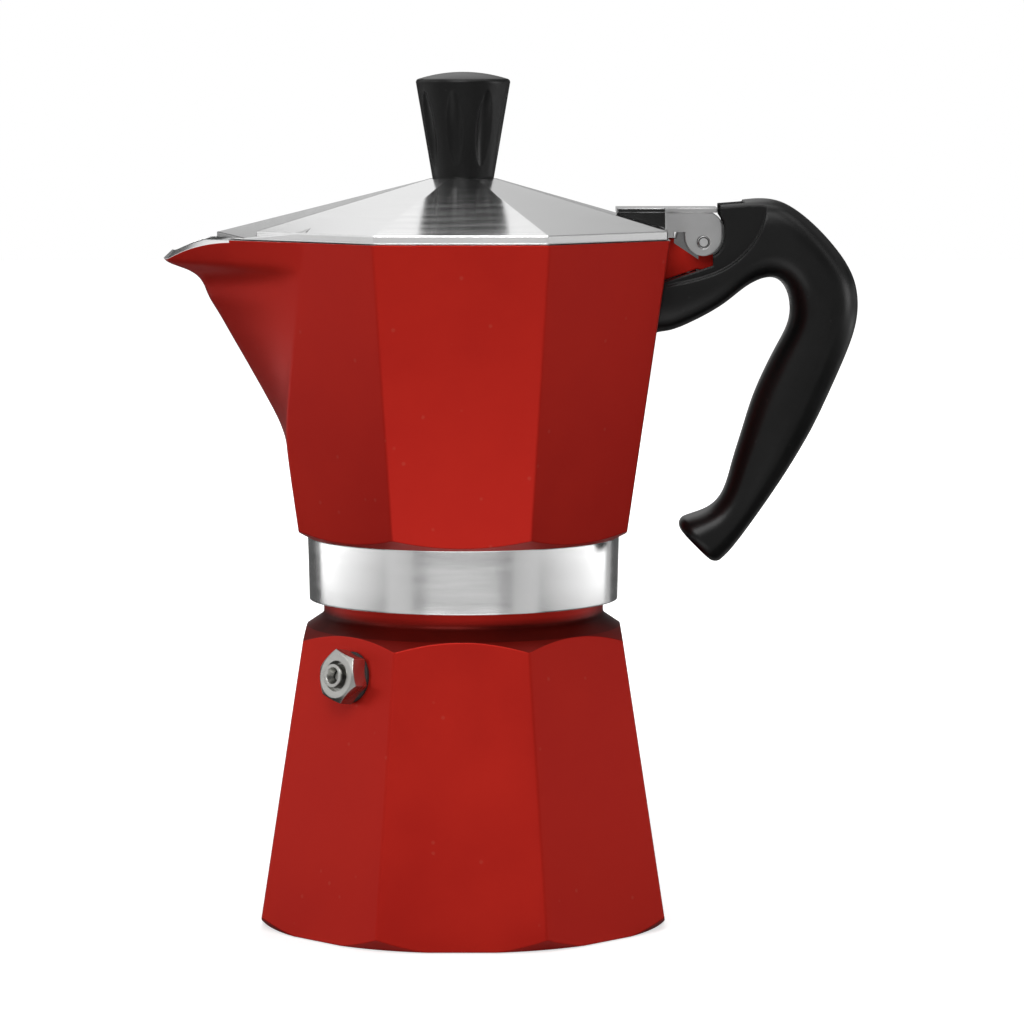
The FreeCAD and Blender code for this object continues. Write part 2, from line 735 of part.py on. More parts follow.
def make_lid():
    top_inner = lid_top - lid_skin
    inner_apothem = lid_apothem - lid_rim_wall
    outer = octagon_stack([
        (lid_apothem, lid_bottom), (lid_apothem, lid_rim_top), (lid_top_apothem, lid_top),
    ])
    hollow = octagon_stack([
        (inner_apothem, lid_bottom - lid_gap),
        (inner_apothem, lid_rim_top - lid_skin + lid_pitch * lid_rim_wall),
        (lid_top_apothem, top_inner),
    ])
    lid = outer.fuse(cover_block(lid_inset, lid_bottom, 0))
    lid = lid.cut(hollow.fuse(cover_block(lid_inset + lid_rim_wall, lid_bottom - lid_gap, lid_skin)))
    plate_top = pin_z + hinge_plate_height
    plate_low = plate_top - hinge_plate_thickness
    front = pin_x - hinge_plate_front
    tail = pin_x + hinge_plate_tail
    block_low = plate_top - ear_block_drop
    block_front = lid_apothem - lid_rim_wall / 2
    ear_front = lid_apothem - ear_overlap
    heel = pin_x - knuckle_radius - ear_heel_gap
    right = pin_x + lobe_radius
    left = pin_x - lobe_radius
    inside = lug_half_width + ear_clearance
    added = [Part.makeBox(
        tail - front, 2 * hinge_plate_half_width, hinge_plate_thickness,
        Vector(front, -hinge_plate_half_width, plate_low))]
    ear = side_plate([
        (ear_front, lid_bottom), (heel, lid_bottom), (heel, block_low), (left, block_low),
        (left, lobe_z), (right, lobe_z), (right, plate_low), (ear_front, plate_low),
    ], inside, ear_half_width)
    ear = ear.makeFillet(ear_corner, cross_edges(ear, right, plate_low))
    lobe = Part.makeCylinder(
        lobe_radius, ear_half_width - inside, Vector(pin_x, inside, lobe_z), Vector(0, 1, 0))
    ear = ear.fuse(lobe)
    added += [ear, ear.mirror(Vector(0, 0, 0), Vector(0, 1, 0))]
    web_fall = lid_pitch * (block_front - front)
    added.append(side_plate([
        (front, plate_low), (block_front + lid_rim_wall, plate_low),
        (block_front + lid_rim_wall, block_low), (block_front, lid_rim_top),
        (front, lid_rim_top + web_fall - lid_skin / 2),
    ], -lug_half_width, lug_half_width))
    lid = lid.fuse(added)
    pin_hole = cross_rod(pin_radius + pin_clearance, pin_x, pin_z, 2 * ear_half_width)
    knob_hole = rod(screw_radius + screw_clearance, top_inner - overcut, lid_top + overcut)
    return lid.cut([pin_hole, knob_hole])


def make_knob():
    low = lid_top
    top = low + knob_height + knob_dome
    high = low + knob_height
    knob = turned([
        (0, low), (knob_base_radius, low), (knob_top_radius, high), (knob_top_radius, top), (0, top),
    ])
    crown = (knob_top_radius ** 2 + knob_dome ** 2) / (2 * knob_dome)
    knob = knob.common(Part.makeSphere(crown, Vector(0, 0, top - crown)))
    knob = knob.makeFillet(knob_edge, [min(knob.Edges, key=lambda edge: abs(edge.CenterOfMass.z - high))])
    lean = math.degrees(math.atan2(knob_top_radius - knob_base_radius, knob_height))
    middle = (knob_base_radius + knob_top_radius) / 2
    bow = flute_length * flute_length / (8 * flute_depth)
    half = math.sqrt(bow * bow - (bow - flute_radius) ** 2)
    arc = Part.Arc(Vector(0, 0, -half), Vector(flute_radius, 0, 0), Vector(0, 0, half)).toShape()
    spindle = Part.Face(Part.Wire([arc, Part.makeLine(Vector(0, 0, half), Vector(0, 0, -half))]))
    spindle = spindle.revolve(Vector(0, 0, 0), Vector(0, 0, 1), 360)
    flutes = []
    for step in range(flute_count):
        flute = spindle.copy()
        flute.rotate(Vector(0, 0, 0), Vector(0, 1, 0), lean)
        flute.translate(Vector(middle + flute_radius - flute_depth, 0, low + knob_height / 2))
        flute.rotate(Vector(0, 0, 0), Vector(0, 0, 1), 270 + flute_turn + step * 360 / flute_count)
        flutes.append(flute)
    hole = rod(screw_radius + screw_clearance, low - overcut, low + knob_screw_grip + screw_end_room)
    knob = knob.cut(flutes + [hole])
    under = lid_top - lid_skin
    washer_low = under - knob_washer_thickness
    washer = rod(knob_washer_radius, washer_low, under)
    washer = washer.cut(rod(screw_radius + screw_clearance, washer_low - overcut, under + overcut))
    screw = rod(knob_screw_head_radius, washer_low - knob_screw_head_height, washer_low)
    screw = screw.fuse(rod(screw_radius, washer_low, low + knob_screw_grip))
    return {"knob": knob, "knob_screw": screw, "knob_washer": washer}


def handle_section(inner, outer, half_width, squareness):
    """Rounded cross-section of the handle between its inner and outer lines."""
    low = Vector(pin_x + inner[0], 0, pin_z + inner[1])
    high = Vector(pin_x + outer[0], 0, pin_z + outer[1])
    centre = (low + high) * 0.5
    reach = (high - low) * 0.5
    points = []
    for step in range(handle_section_points):
        angle = 2 * math.pi * step / handle_section_points
        across, aside = math.cos(angle), math.sin(angle)
        across = math.copysign(abs(across) ** (2 / squareness), across)
        aside = math.copysign(abs(aside) ** (2 / squareness), aside)
        points.append(centre + reach * across + Vector(0, half_width * aside, 0))
    curve = Part.BSplineCurve()
    curve.interpolate(Points=points, PeriodicFlag=True)
    return Part.Wire(curve.toShape())


def from_pin(radius, degrees):
    angle = math.radians(degrees)
    return (pin_x + radius * math.cos(angle), pin_z + radius * math.sin(angle))


def hinge_room():
    """Space that the lid's ears, plate and rear rim need when the lid swings."""
    far = 3 * hinge_plate_front
    full = handle_stations[0][2] * 2
    gap = lug_clearance
    side = pin_x + lobe_radius + lobe_clearance
    nose = side - lobe_clearance - lid_inset
    bend_x = pin_x + lobe_radius - ear_corner
    bend_z = pin_z + hinge_plate_height - hinge_plate_thickness - ear_corner
    bend_radius = ear_corner + lobe_clearance
    bend = []
    for degrees in ear_bend_angles:
        angle = math.radians(degrees)
        bend.append((bend_x + bend_radius * math.cos(angle), bend_z + bend_radius * math.sin(angle)))
    room = [side_plate([
        (lug_wall - far, lug_low - lug_fall * far - gap), (lug_end + gap, lug_end_low - gap),
        (lug_end + gap, lobe_z), (side, lobe_z), *bend,
        (nose, pin_z + hinge_plate_height), (nose, pin_z + far), (lug_wall - far, pin_z + far),
    ], -full, full)]
    half = hinge_plate_half_width + slot_clearance
    sweep = math.hypot(hinge_plate_height, hinge_plate_tail) + slot_clearance
    last = math.degrees(math.atan2(hinge_plate_height, hinge_plate_tail)) - lid_swing - slot_angle
    flat = 90 - lid_swing
    wedge = side_plate([
        (pin_x, pin_z), from_pin(2 * sweep, last), from_pin(2 * sweep, flat),
    ], -half, half)
    room.append(wedge.common(cross_rod(sweep, pin_x, pin_z, half)))
    root = from_pin(sweep, flat)
    lean = math.radians(flat)
    room.append(side_plate([
        (pin_x, pin_z), root, (root[0] - far * math.sin(lean), root[1] + far * math.cos(lean)),
        (pin_x - far, pin_z + far), (pin_x - far, pin_z),
    ], -half, half))
    room.append(cross_rod(knuckle_radius + lobe_clearance, pin_x, pin_z, half))
    room.append(cross_rod(lobe_radius + lobe_clearance, pin_x, lobe_z, full))
    return room


def make_handle():
    handle = Part.makeLoft([handle_section(*station) for station in handle_stations], True, False)
    foot = max(handle.Edges, key=lambda edge: -edge.CenterOfMass.z)
    handle = handle.makeFillet(handle_end_round, [foot])
    wall = Vector(rim_apothem + handle_wall_clearance, 0, rim)
    handle = handle.cut(beyond_plane(wall, Vector(-1, 0, collector_draft)))
    cuts = hinge_room()
    curve = Part.BSplineCurve()
    curve.interpolate(Points=[Vector(pin_x + x, 0, pin_z + z) for x, z in recess_points])
    first, last = curve.StartPoint, curve.EndPoint
    corner = Vector(first.x, 0, last.z)
    edges = [curve.toShape()] + Part.makePolygon([last, corner, first]).Edges
    recess = Part.Face(Part.Wire(edges)).extrude(Vector(0, cheek_half_width, 0))
    for side in (1, -2):
        cut = recess.copy()
        cut.translate(Vector(0, side * cheek_half_width, 0))
        cuts.append(cut)
    gap = lug_clearance
    cuts.append(side_plate([
        (pin_x - gap, tang_top + gap), (lug_end + tang_length + gap, tang_top + gap),
        (lug_end + tang_length + gap, tang_top - tang_height - gap),
        (pin_x - gap, tang_top - tang_height - gap),
    ], -lug_half_width - gap, lug_half_width + gap))
    seat_z = pin_z - handle_screw_seat
    bore = rod(screw_radius + screw_clearance, seat_z - overcut, pin_z)
    recess_radius = handle_screw_head_radius + counterbore_clearance
    bore = bore.fuse(rod(recess_radius, seat_z - 3 * handle_screw_seat, seat_z))
    bore.translate(Vector(handle_screw_x, 0, 0))
    cuts.append(bore)
    handle = handle.cut(cuts)
    screw = rod(handle_screw_head_radius, seat_z - handle_screw_head_height, seat_z)
    screw = screw.fuse(rod(screw_radius, seat_z, pin_z - handle_screw_tip))
    screw.translate(Vector(handle_screw_x, 0, 0))
    return {"handle": handle, "handle_screw": screw}


pieces = {"boiler": make_boiler()}
pieces.update(make_valve())
pieces.update(make_funnel())
pieces.update(make_seal())
pieces["collector"] = make_collector()
pieces["riser_column"] = make_column()
pieces["lid"] = make_lid()
pieces["hinge_pin"] = cross_rod(pin_radius, pin_x, pin_z, ear_half_width)
pieces.update(make_knob())
pieces.update(make_handle())

os.makedirs("parts", exist_ok=True)
for name, shape in pieces.items():
    shape.exportStep(f"parts/{name}.step")
    print(name, len(shape.Solids), shape.isValid(), round(shape.Volume, 1))
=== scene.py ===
# %% [markdown]
# # Dressing a stovetop moka pot
# The CAD frame already holds every casting, moulding and screw at its true size and place, so this
# lesson leaves the shapes alone. It adds the finishes, two thin rings round the hinge pin, a copy of the
# valve spring, the light and the camera. We load the frame first. Nothing we add may grow past it.

# %% Load the frame
import json
import math

import bpy
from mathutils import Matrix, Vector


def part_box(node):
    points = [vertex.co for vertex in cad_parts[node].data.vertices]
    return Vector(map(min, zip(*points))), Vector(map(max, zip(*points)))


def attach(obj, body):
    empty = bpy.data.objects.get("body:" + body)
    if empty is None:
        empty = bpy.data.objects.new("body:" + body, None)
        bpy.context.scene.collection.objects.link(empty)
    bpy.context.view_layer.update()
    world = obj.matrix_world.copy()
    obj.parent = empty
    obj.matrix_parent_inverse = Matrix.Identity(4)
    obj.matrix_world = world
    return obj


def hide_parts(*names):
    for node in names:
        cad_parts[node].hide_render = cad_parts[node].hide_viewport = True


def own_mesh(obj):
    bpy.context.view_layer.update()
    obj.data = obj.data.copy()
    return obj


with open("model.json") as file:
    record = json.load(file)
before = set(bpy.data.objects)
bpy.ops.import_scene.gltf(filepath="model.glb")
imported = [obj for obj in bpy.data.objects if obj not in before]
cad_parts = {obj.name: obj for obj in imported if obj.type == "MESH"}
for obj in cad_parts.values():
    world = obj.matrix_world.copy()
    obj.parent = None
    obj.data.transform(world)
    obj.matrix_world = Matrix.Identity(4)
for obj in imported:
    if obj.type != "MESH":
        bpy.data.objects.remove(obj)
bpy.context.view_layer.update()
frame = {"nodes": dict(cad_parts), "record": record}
nodes = frame["nodes"]
scene = bpy.context.scene
scene.view_settings.view_transform = "Standard"

# %% [markdown]
# ## The camera
# The photograph was taken with a long lens from a little above the lid, so upright edges stay nearly
# parallel. A camera could be fitted by eye; here its place and lens were solved from the measured
# edges of the two castings, which is why the numbers are not round.

# %% Camera
camera_data = bpy.data.cameras.new("photo_camera")
camera_data.sensor_width = 36.0
camera_data.lens = 158.2
camera = bpy.data.objects.new("photo_camera", camera_data)
camera.location = (0.01243, -1.1475, 0.2169)
camera.rotation_euler = (math.radians(84.4), 0, 0)
scene.collection.objects.link(camera)
scene.camera = camera
print("camera:", round(camera_data.lens, 1), "mm lens,", round(camera.location.length, 2), "m away")

# %% [markdown]
# ## Helpers for meshes and nodes
# A shader tree is a set of nodes joined by links. Writing each node in three or four lines soon hides
# the idea, so these helpers place a node, fill its sockets with numbers or links, and hand it back.

# %% Mesh and node helpers
def new_mesh(name, points, faces):
    mesh = bpy.data.meshes.new(name)
    mesh.from_pydata(points, [], faces)
    made = bpy.data.objects.new(name, mesh)
    scene.collection.objects.link(made)
    return made


def new_material(name):
    """Material with its node tree and the sockets of its one shader."""
    made = bpy.data.materials.new(name)
    made.use_nodes = True
    tree = made.node_tree
    return made, tree, tree.nodes["Principled BSDF"].inputs


def fill(tree, socket, value):
    """Give a socket a link or a plain value."""
    if isinstance(value, bpy.types.NodeSocket):
        tree.links.new(value, socket)
    else:
        socket.default_value = value


def put(tree, kind, inputs=None, **settings):
    """Place a node, set it up and fill its inputs."""
    made = tree.nodes.new("ShaderNode" + kind)
    for name, value in settings.items():
        setattr(made, name, value)
    for key, value in (inputs or {}).items():
        fill(tree, made.inputs[key], value)
    return made


def axes(tree, vector):
    """Split a vector into X, Y and Z."""
    return put(tree, "SeparateXYZ", {0: vector}).outputs


print("mesh and node helpers ready")

# %% [markdown]
# ## Helpers for masks
# A mask is a number from 0 to 1 that says where a finish applies. Masks combine by plain arithmetic:
# the product of masks is where all of them hold, and the largest of them is where any holds. Giving
# these sums names keeps the rules further down readable.

# %% Mask helpers
def calc(tree, operation, *values):
    return put(tree, "Math", dict(enumerate(values)), operation=operation).outputs[0]


def above(tree, value, limit):
    return calc(tree, "GREATER_THAN", value, limit)


def below(tree, value, limit):
    return calc(tree, "LESS_THAN", value, limit)


def both(tree, first, *others):
    for other in others:
        first = calc(tree, "MULTIPLY", first, other)
    return first


def either(tree, first, *others):
    for other in others:
        first = calc(tree, "MAXIMUM", first, other)
    return first


def diagonal(tree, first, second):
    """Length of the slanted side over two square ones."""
    squares = [calc(tree, "POWER", side, 2.0) for side in (first, second)]
    return calc(tree, "SQRT", calc(tree, "ADD", *squares))


print("mask helpers ready")

# %% [markdown]
# ## Helpers for ranges and colours
# A finish seldom switches from one state to another; it moves between two. A map range node does that
# for numbers, such as a roughness, and a mix node does it for colours. A mask says how far to go.

# %% Range and colour helpers
def spread(tree, value, low, high, start=0.0, end=1.0):
    """Stretch a value from one range to another and hold it at the ends."""
    made = put(tree, "MapRange", {"Value": value, "From Min": low, "From Max": high})
    fill(tree, made.inputs["To Min"], start)
    fill(tree, made.inputs["To Max"], end)
    return made.outputs["Result"]


def between(tree, share, start, end):
    """Value on the way from start to end, as far as a mask says."""
    return spread(tree, share, 0.0, 1.0, start, end)


def tint(tree, share, first, second):
    """Colour on the way from the first to the second."""
    return put(tree, "Mix", {0: share, 6: first, 7: second}, data_type="RGBA").outputs[2]


def touch(tree, mask, strength, first, second):
    """Tint by a weakened mask."""
    return tint(tree, calc(tree, "MULTIPLY", mask, strength), first, second)


def grey(value):
    return (value, value, value, 1.0)


print("range and colour helpers ready")

# %% [markdown]
# ## The floor
# The pot stands on a pale sweep of paper that runs out to white. A studio lights such a backdrop on its
# own until it burns out. Here the floor glows, but only for rays that come straight from the camera,
# and less so close to the pot, which leaves the soft shadow under the base in the picture.

# %% Floor
floor_half, floor_z = 4, -0.0003
shadow_reach, white_from, shadow_glow = 0.12, 0.6, 0.65
floor = new_mesh("floor", [(-floor_half, -floor_half, floor_z), (floor_half, -floor_half, floor_z),
                           (floor_half, floor_half, floor_z), (-floor_half, floor_half, floor_z)],
                 [(0, 1, 2, 3)])
floor_finish, tree, shader = new_material("pale_floor")
shader["Base Color"].default_value = grey(0.58)
shader["Roughness"].default_value = 0.9
shader["Emission Color"].default_value = grey(1.0)
away = put(tree, "VectorMath", {0: put(tree, "TexCoord").outputs["Object"]}, operation="LENGTH")
glow = spread(tree, away.outputs["Value"], shadow_reach, white_from, shadow_glow, 1.0)
seen = put(tree, "LightPath").outputs["Is Camera Ray"]
fill(tree, shader["Emission Strength"], both(tree, seen, glow))
floor.data.materials.append(floor_finish)
print("floor", 2 * floor_half, "m wide, white from", white_from, "m on")

# %% [markdown]
# ## The white room
# To the camera the background is plain white. A metal that mirrors only white looks like plaster, so
# reflections see a room with dimmer parts: the upper right, low at the back, and the camera's side. Far
# out in front the floor stays bright. All other rays get a weak, even fill.

# %% World
right_dimming, back_dimming, camera_side, room_fill = 0.7, 0.55, 0.45, 0.18
world = bpy.data.worlds.new("white_room")
world.use_nodes = True
scene.world = world
tree = world.node_tree
way = axes(tree, put(tree, "TexCoord").outputs["Generated"])
upper_right = both(tree, spread(tree, way["X"], 0.0, 0.2), spread(tree, way["Z"], 0.07, 0.22))
low_back = both(tree, spread(tree, way["Y"], 0.3, 0.6), spread(tree, way["Z"], 0.36, 0.26))
far_floor = both(tree, spread(tree, way["Z"], 0.08, 0.02), spread(tree, way["Y"], -0.2, -0.5))
shade = calc(tree, "SUBTRACT", 1.0, calc(tree, "MULTIPLY", upper_right, right_dimming))
shade = calc(tree, "SUBTRACT", shade, calc(tree, "MULTIPLY", low_back, back_dimming))
shade = both(tree, shade, spread(tree, way["Y"], -0.85, -0.35, camera_side, 1.0))
shade = either(tree, shade, far_floor)
path = put(tree, "LightPath").outputs
mirrored = either(tree, path["Is Glossy Ray"], path["Is Transmission Ray"])
light = between(tree, mirrored, room_fill, shade)
background = tree.nodes["Background"].inputs
background["Color"].default_value = grey(1.0)
fill(tree, background["Strength"], between(tree, path["Is Camera Ray"], light, 1.0))
print("white room ready, fill", room_fill)

# %% [markdown]
# ## Lamps
# Six square softboxes light the pot: a large key in front, smaller ones at the left, at the right and
# over the handle, one overhead and a fill from behind. Each is aimed at the middle of the pot, and its
# power is in watts. The fill stays out of reflections, where it would show as a white square.

# %% Lamps
def softbox(name, place, target, size, power):
    data = bpy.data.lights.new(name, "AREA")
    data.shape = "SQUARE"
    data.size = size
    data.energy = power
    lamp = bpy.data.objects.new(name, data)
    lamp.location = place
    aim = [t - p for t, p in zip(target, place)]
    tilt = math.atan2(math.hypot(aim[0], aim[1]), -aim[2])
    lamp.rotation_euler = (tilt, 0, math.atan2(-aim[0], aim[1]))
    scene.collection.objects.link(lamp)
    return lamp


pot_middle = (0, 0, 0.11)
lamps = {}
for name, place, size, power in (
    ("front_key", (-0.25, -1.3, 1.25), 1.0, 20.0),
    ("left_strip", (-1.2, -0.3, 0.8), 0.4, 1.2),
    ("right_strip", (1.2, -0.25, 0.85), 0.4, 0.6),
    ("handle_strip", (0.75, -0.1, 1.15), 0.4, 1.2),
    ("overhead", (0.1, 0.3, 1.4), 0.8, 3.5),
    ("back_fill", (0.2, 1.5, 0.9), 1.0, 9.0),
):
    lamps[name] = softbox(name, place, pot_middle, size, power)
lamps["back_fill"].visible_glossy = False
print(len(lamps), "softboxes:", ", ".join(lamps))

# %% [markdown]
# ## Boards, cloths and cards
# Bare metal is drawn by what it mirrors. A photographer stands dark boards beside it for crisp dark
# edges, lays cloths on the table where a face should go deep, and a white card where it should shine.
# Ours are seen by reflections alone, so the floor stays white in the picture and no light is lost.

# %% Board helpers
def around(azimuth, reach, z):
    """Point round the pot's axis, at an angle in degrees from the camera's side."""
    turn = math.radians(azimuth)
    return (math.sin(turn) * reach, -math.cos(turn) * reach, z)


def glowing(name):
    """Material that only gives light: black, without a shine of its own."""
    made, tree, shader = new_material(name)
    shader["Base Color"].default_value = grey(0.0)
    shader["Specular IOR Level"].default_value = 0.0
    shader["Emission Color"].default_value = grey(1.0)
    return made, tree, shader


def reflections_only(made):
    made.visible_camera = False
    made.visible_diffuse = False
    made.visible_shadow = False
    made.visible_transmission = False


def board(name, first, last, near, far, height, glow):
    """Sheet on the floor between two angles, from near to far, and upright behind.

    A glow of 0 is black cloth and 1 is a white card in full light.
    """
    corners = [around(azimuth, reach, z) for azimuth in (first, last)
               for reach, z in ((near, 0.0), (far, 0.0), (far, height))]
    made = new_mesh(name, corners, [(0, 1, 4, 3), (1, 2, 5, 4)])
    finish, _, shader = glowing(name + "_card")
    shader["Emission Strength"].default_value = glow
    made.data.materials.append(finish)
    reflections_only(made)


print("board helpers ready")

# %% [markdown]
# ### Laying them out
# Two upright boards stand behind the pot, five dark cloths lie round it, and one bright card lies in
# front of it. Angles to the left of the camera's view are negative. What a face mirrors decides where
# its sheet has to lie, and following the reflected rays finds that place faster than moving lamps.

# %% Boards and cards
flat = 0.001
sheets = (
    ("board_left", -139, -166, 0.08, 0.8, 0.7, 0.1),
    ("cloth_left", -56, -132, 0.05, 0.56, flat, 0.06),
    ("board_right", 139, 166, 0.08, 0.8, 0.7, 0.1),
    ("cloth_right", 56, 132, 0.05, 0.56, flat, 0.06),
    ("cloth_back", 148, 212, 0.05, 0.42, flat, 0.05),
    ("cloth_spout", -122, -141, 0.4, 0.785, flat, 0.05),
    ("card_front", -26, 26, 0.15, 0.45, flat, 1.9),
    ("cloth_front", -36, 36, 0.46, 0.65, flat, 0.25),
)
for sheet in sheets:
    board(*sheet)
print(len(sheets), "sheets:", ", ".join(sheet[0] for sheet in sheets))

# %% [markdown]
# ### A curved card for the turned band
# The band is a mirror that sees the whole room at floor height. A photographer bends a long card round
# the front and lights its two ends, so the band runs smoothly from bright sides to a calm middle. One
# strip does it here, and its glow follows the angle round the pot.

# %% Curved card
strip_reach, strip_height, strip_end, strip_step = 0.66, 0.05, 128, 4
calm_until, bright_from = math.radians(28), math.radians(108)
calm_glow, bright_glow = 0.33, 2.15
corners = [around(azimuth, strip_reach, z) for azimuth in range(-strip_end, strip_end + 1, strip_step)
           for z in (0.0, strip_height)]
strip = new_mesh("curved_card", corners,
                 [(k, k + 2, k + 3, k + 1) for k in range(0, len(corners) - 2, 2)])
strip_finish, tree, shader = glowing("curved_card_white")
place = axes(tree, put(tree, "TexCoord").outputs["Object"])
turn = calc(tree, "ARCTAN2", place["X"], calc(tree, "MULTIPLY", place["Y"], -1.0))
turn = calc(tree, "ABSOLUTE", turn)
glow = spread(tree, turn, calm_until, bright_from, calm_glow, bright_glow)
fill(tree, shader["Emission Strength"], glow)
strip.data.materials.append(strip_finish)
reflections_only(strip)
print("curved card with", len(strip.data.polygons), "faces")

# %% [markdown]
# ## Shared surface effects
# Most finishes on the pot share a few effects: a fine grain, small specks, edges that are rubbed a
# little brighter, edges that are softened so they catch the light, and lines left by turning or
# brushing. Each is a node group, built once and placed in every material that needs it.

# %% Group helpers
def new_group(name, inputs, values, vectors=()):
    """Node group that takes numbers and gives numbers and vectors."""
    group = bpy.data.node_groups.new(name, "ShaderNodeTree")
    for label, start in inputs.items():
        socket = group.interface.new_socket(label, in_out="INPUT", socket_type="NodeSocketFloat")
        socket.default_value = start
    for labels, kind in ((values, "NodeSocketFloat"), (vectors, "NodeSocketVector")):
        for label in labels:
            group.interface.new_socket(label, in_out="OUTPUT", socket_type=kind)
    inside = group.nodes.new("NodeGroupInput").outputs
    out = group.nodes.new("NodeGroupOutput").inputs
    return group, inside, out


def use(tree, group, **inputs):
    """Place a group in a material and return its outputs."""
    made = tree.nodes.new("ShaderNodeGroup")
    made.node_tree = group
    for label, value in inputs.items():
        fill(tree, made.inputs[label], value)
    return made.outputs


print("group helpers ready")

# %% [markdown]
# ### Grain and specks
# Paint, resin and rubber are never perfectly even. Two noises, one fine and one broad, give the grain
# its height and a slow change of tone. Specks come from a cell texture: only cells whose random value
# is low enough keep a dot, so the dots stay sparse.

# %% Grain and specks
grain, inside, out = new_group("fine_grain", {"Scale": 800.0}, ["Height", "Tone"])
spot = put(grain, "TexCoord").outputs["Object"]
fine = put(grain, "TexNoise", {"Vector": spot, "Scale": inside["Scale"], "Detail": 3.0})
broad_scale = calc(grain, "MULTIPLY", inside["Scale"], 0.04)
broad = put(grain, "TexNoise", {"Vector": spot, "Scale": broad_scale, "Detail": 4.0})
fill(grain, out["Height"], fine.outputs["Fac"])
fill(grain, out["Tone"], spread(grain, broad.outputs["Fac"], 0.3, 0.7))

specks, inside, out = new_group("specks", {"Scale": 500.0, "Share": 0.1}, ["Mask"])
spot = put(specks, "TexCoord").outputs["Object"]
cells = put(specks, "TexVoronoi", {"Vector": spot, "Scale": inside["Scale"]})
dot = spread(specks, cells.outputs["Distance"], 0.28, 0.12)
chance = put(specks, "SeparateColor", {0: cells.outputs["Color"]}).outputs[0]
fill(specks, out["Mask"], both(specks, dot, below(specks, chance, inside["Share"])))
print("groups:", grain.name, specks.name)

# %% [markdown]
# ### Edges
# A bevel node looks a short way round each point and averages the normals it finds. That average
# softens the sharp edges of the CAD solids, and where it differs from the true normal there is an edge,
# so the same node also gives the mask for rubbed edges.

# %% Edges
edges, inside, out = new_group("soft_edges", {"Width": 0.0005}, ["Mask"], ["Normal"])
rounded = put(edges, "Bevel", {"Radius": inside["Width"]}, samples=6).outputs["Normal"]
plain = put(edges, "NewGeometry").outputs["Normal"]
same = put(edges, "VectorMath", {0: rounded, 1: plain}, operation="DOT_PRODUCT").outputs["Value"]
rubbed = spread(edges, same, 0.995, 0.93)
spot = put(edges, "TexCoord").outputs["Object"]
patchy = put(edges, "TexNoise", {"Vector": spot, "Scale": 160.0, "Detail": 3.0}).outputs["Fac"]
fill(edges, out["Normal"], rounded)
fill(edges, out["Mask"], both(edges, rubbed, spread(edges, patchy, 0.3, 0.6)))
print("group:", edges.name)

# %% [markdown]
# ### Turned lines
# The band was turned on a lathe, so its lines run round the Z axis. A pattern of even rings would look
# printed. A noise that is squeezed across the lines and drawn out along them gives each line its own
# depth, and a second, wider one gives broad streaks of tone.

# %% Turned lines
def line_noise(group, out, line_at, widen):
    """Lines for the height and wider streaks for the tone, both from one squeezed place."""
    lines = put(group, "TexNoise", {"Vector": line_at, "Scale": 1.0, "Detail": 2.0})
    wide_at = put(group, "VectorMath", {0: line_at, 1: widen}, operation="MULTIPLY").outputs[0]
    wide = put(group, "TexNoise", {"Vector": wide_at, "Scale": 1.0, "Detail": 2.0})
    fill(group, out["Height"], lines.outputs["Fac"])
    fill(group, out["Streak"], spread(group, wide.outputs["Fac"], 0.3, 0.7))


turned, inside, out = new_group("turned_lines", {"Spacing": 0.0003}, ["Height", "Streak"])
place = axes(turned, put(turned, "TexCoord").outputs["Object"])
radius = diagonal(turned, place["X"], place["Y"])
angle = calc(turned, "ARCTAN2", place["Y"], place["X"])
across = calc(turned, "DIVIDE", calc(turned, "ADD", place["Z"], radius), inside["Spacing"])
along = calc(turned, "MULTIPLY", angle, 3.0)
line_at = put(turned, "CombineXYZ", {0: across, 1: along, 2: 0.0}).outputs[0]
line_noise(turned, out, line_at, (0.08, 0.5, 1.0))
print("group:", turned.name)

# %% [markdown]
# ### Brushed lines
# The lid was brushed facet by facet, so its lines run along each facet's rim. They are the same kind of
# noise. The angle round the axis is snapped to the nearest of the eight facets first, so the lines stay
# straight on a facet and turn at its edges.

# %% Brushed lines
facet_step = math.pi / 4
brushed, inside, out = new_group("facet_lines", {"Spacing": 0.0003}, ["Height", "Streak"])
place = axes(brushed, put(brushed, "TexCoord").outputs["Object"])
angle = calc(brushed, "ARCTAN2", place["Y"], place["X"])
nearest = calc(brushed, "ROUND", calc(brushed, "DIVIDE", angle, facet_step))
facet = calc(brushed, "MULTIPLY", nearest, facet_step)
cosine, sine = calc(brushed, "COSINE", facet), calc(brushed, "SINE", facet)
outward = calc(brushed, "ADD", calc(brushed, "MULTIPLY", place["X"], cosine),
               calc(brushed, "MULTIPLY", place["Y"], sine))
sideways = calc(brushed, "SUBTRACT", calc(brushed, "MULTIPLY", place["Y"], cosine),
                calc(brushed, "MULTIPLY", place["X"], sine))
line_at = put(brushed, "CombineXYZ", {0: calc(brushed, "DIVIDE", outward, inside["Spacing"]),
                                      1: calc(brushed, "MULTIPLY", sideways, 60.0),
                                      2: calc(brushed, "MULTIPLY", facet, 9.0)}).outputs[0]
line_noise(brushed, out, line_at, (0.1, 0.6, 1.0))
print("group:", brushed.name)

# %% [markdown]
# ## Materials
# Every material starts from one Principled shader. Two helpers add the bump on top of the softened
# edges and put the material on its pieces, so each cell below can speak only about colour and
# roughness.

# %% Material helpers
def roughen(tree, shader, height, depth, normal):
    """Turn a height from 0 to 1 into a bump of that depth in metres, on top of the softened edges."""
    bump = put(tree, "Bump", {"Height": height, "Normal": normal, "Distance": depth, "Strength": 1.0})
    fill(tree, shader["Normal"], bump.outputs["Normal"])


def dress(material, *names):
    for name in names:
        for slot in nodes[name].material_slots:
            slot.material = material
    print(material.name, "on", ", ".join(names))


